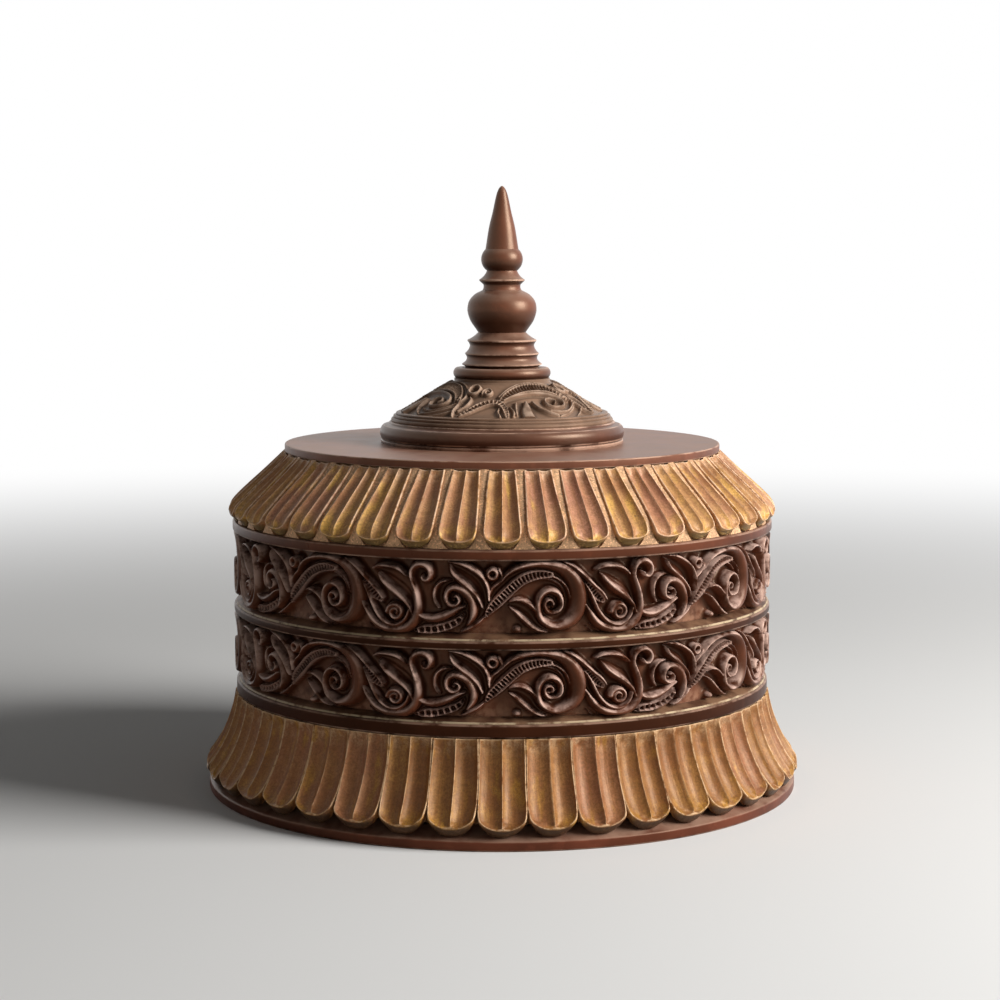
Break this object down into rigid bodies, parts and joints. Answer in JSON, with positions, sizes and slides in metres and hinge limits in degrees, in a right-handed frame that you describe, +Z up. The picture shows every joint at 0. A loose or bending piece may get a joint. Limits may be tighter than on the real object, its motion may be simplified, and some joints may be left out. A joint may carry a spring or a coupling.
{
  "type": "paan box",
  "caption": "Round lidded box of carved and lacquered wood with petal rings, scroll friezes and a turned finial on the lid, and a lift-out tray of cups inside.",
  "frame": {"origin": "centre of the underside of the base board", "axes": "+Z up along the box's axis, -Y towards the front"},
  "size_m": [0.275, 0.275, 0.2747],
  "materials": {
    "red_brown_lacquer": "satin dark red-brown lacquer on turned wood, rubbed at the edges",
    "carved_brown_lacquer": "dark brown lacquer on carved wood, with grey-brown dust in the recesses",
    "rubbed_gold_lacquer": "antique gold over brown lacquer, rubbed on the ridges",
    "pale_bead_paint": "worn cream paint over brown lacquer",
    "inner_red_lacquer": "satin red lacquer on turned wood",
    "tray_lacquer": "satin dark lacquer on turned wood",
    "bare_hardwood": "bare hardwood",
    "turned_brass": "turned brass with a soft tarnish"
  },
  "bodies": {
    "root": {"base_board": "red_brown_lacquer", "base_petal_ring": "rubbed_gold_lacquer", "drum_wall": "inner_red_lacquer", "drum_floor": "inner_red_lacquer", "lower_rail": "red_brown_lacquer", "lower_lip": "pale_bead_paint", "lower_frieze": "carved_brown_lacquer", "middle_rail": "red_brown_lacquer", "upper_lip": "pale_bead_paint", "upper_frieze": "carved_brown_lacquer", "upper_rail": "red_brown_lacquer", "tray_ledge": "inner_red_lacquer"},
    "lid": {"lid_petal_ring": "rubbed_gold_lacquer", "lid_ceiling": "inner_red_lacquer", "lid_top_disc": "red_brown_lacquer", "dome_flange": "red_brown_lacquer", "dome": "carved_brown_lacquer", "finial_collar": "red_brown_lacquer", "finial": "red_brown_lacquer", "finial_dowel": "bare_hardwood"},
    "tray": {"tray_rim": "tray_lacquer", "tray_board": "tray_lacquer", "tray_knob_right": "turned_brass", "tray_knob_left": "turned_brass"},
    "cup_0": {"cup_0": "turned_brass"},
    "cup_1": {"cup_1": "turned_brass"},
    "cup_2": {"cup_2": "turned_brass"},
    "cup_3": {"cup_3": "turned_brass"},
    "cup_4": {"cup_4": "turned_brass"},
    "cup_5": {"cup_5": "turned_brass"},
    "cup_6": {"cup_6": "turned_brass"},
    "lime_cover": {"lime_cover": "turned_brass"},
    "catechu_cover": {"catechu_cover": "turned_brass"}
  },
  "joints": [
    {"name": "lid_lift", "type": "slide", "parent": "root", "child": "lid", "axis": [0, 0, 1], "range_m": [0, 0.32]},
    {"name": "tray_lift", "type": "slide", "parent": "root", "child": "tray", "axis": [0, 0, 1], "range_m": [0, 0.16]},
    {"name": "cup_0_lift", "type": "slide", "parent": "tray", "child": "cup_0", "axis": [0, 0, 1], "range_m": [0, 0.06]},
    {"name": "cup_1_lift", "type": "slide", "parent": "tray", "child": "cup_1", "axis": [0, 0, 1], "range_m": [0, 0.06]},
    {"name": "cup_2_lift", "type": "slide", "parent": "tray", "child": "cup_2", "axis": [0, 0, 1], "range_m": [0, 0.06]},
    {"name": "cup_3_lift", "type": "slide", "parent": "tray", "child": "cup_3", "axis": [0, 0, 1], "range_m": [0, 0.06]},
    {"name": "cup_4_lift", "type": "slide", "parent": "tray", "child": "cup_4", "axis": [0, 0, 1], "range_m": [0, 0.06]},
    {"name": "cup_5_lift", "type": "slide", "parent": "tray", "child": "cup_5", "axis": [0, 0, 1], "range_m": [0, 0.06]},
    {"name": "cup_6_lift", "type": "slide", "parent": "tray", "child": "cup_6", "axis": [0, 0, 1], "range_m": [0, 0.06]},
    {"name": "lime_cover_lift", "type": "slide", "parent": "cup_1", "child": "lime_cover", "axis": [0, 0, 1], "range_m": [0, 0.03]},
    {"name": "catechu_cover_lift", "type": "slide", "parent": "cup_4", "child": "catechu_cover", "axis": [0, 0, 1], "range_m": [0, 0.03]}
  ],
  "couplings": [
    {"joint": "tray_lift", "follows": "lid_lift", "ratio": 0.5},
    {"joint": "cup_0_lift", "follows": "lid_lift", "ratio": 0.1875},
    {"joint": "cup_1_lift", "follows": "lid_lift", "ratio": 0.1875},
    {"joint": "cup_2_lift", "follows": "lid_lift", "ratio": 0.1875},
    {"joint": "cup_3_lift", "follows": "lid_lift", "ratio": 0.1875},
    {"joint": "cup_4_lift", "follows": "lid_lift", "ratio": 0.1875},
    {"joint": "cup_5_lift", "follows": "lid_lift", "ratio": 0.1875},
    {"joint": "cup_6_lift", "follows": "lid_lift", "ratio": 0.1875},
    {"joint": "lime_cover_lift", "follows": "lid_lift", "ratio": 0.09375},
    {"joint": "catechu_cover_lift", "follows": "lid_lift", "ratio": 0.09375}
  ]
}
